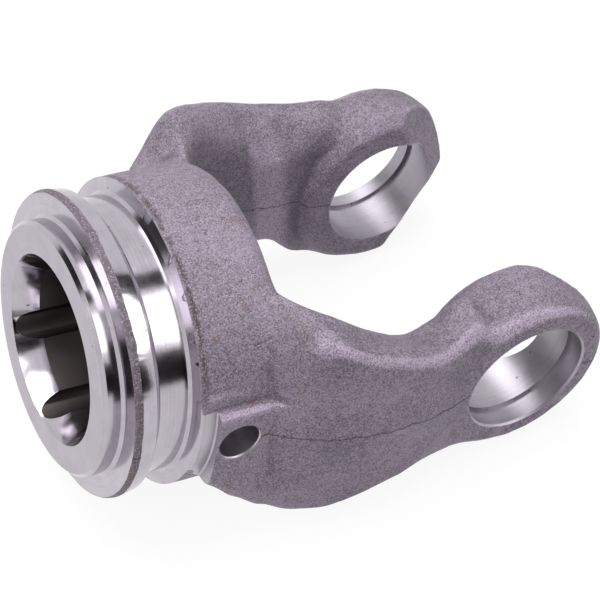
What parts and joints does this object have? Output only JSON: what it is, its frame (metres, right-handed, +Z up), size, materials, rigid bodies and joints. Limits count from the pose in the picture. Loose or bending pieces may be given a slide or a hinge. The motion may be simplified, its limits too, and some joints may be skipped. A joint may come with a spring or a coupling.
{
  "type": "forged yoke",
  "caption": "One-piece forged yoke with a splined hub, a guard bearing groove, a pin hole and a fork whose ears are bored for a joint's cross.",
  "frame": {"origin": "centre of the cross, where the axis of the cross bores meets the axis of the hub", "axes": "+Z up as the yoke lies at rest, +Y along the cross bores, +X level and towards the ears; the hub's axis climbs 10.3 degrees towards the nose"},
  "size_m": [0.1334, 0.0958, 0.0781],
  "materials": {
    "forged_steel": "shot-blasted forged skin, with turned and bored surfaces left bright"
  },
  "bodies": {
    "root": {"yoke": "forged_steel"}
  },
  "joints": []
}
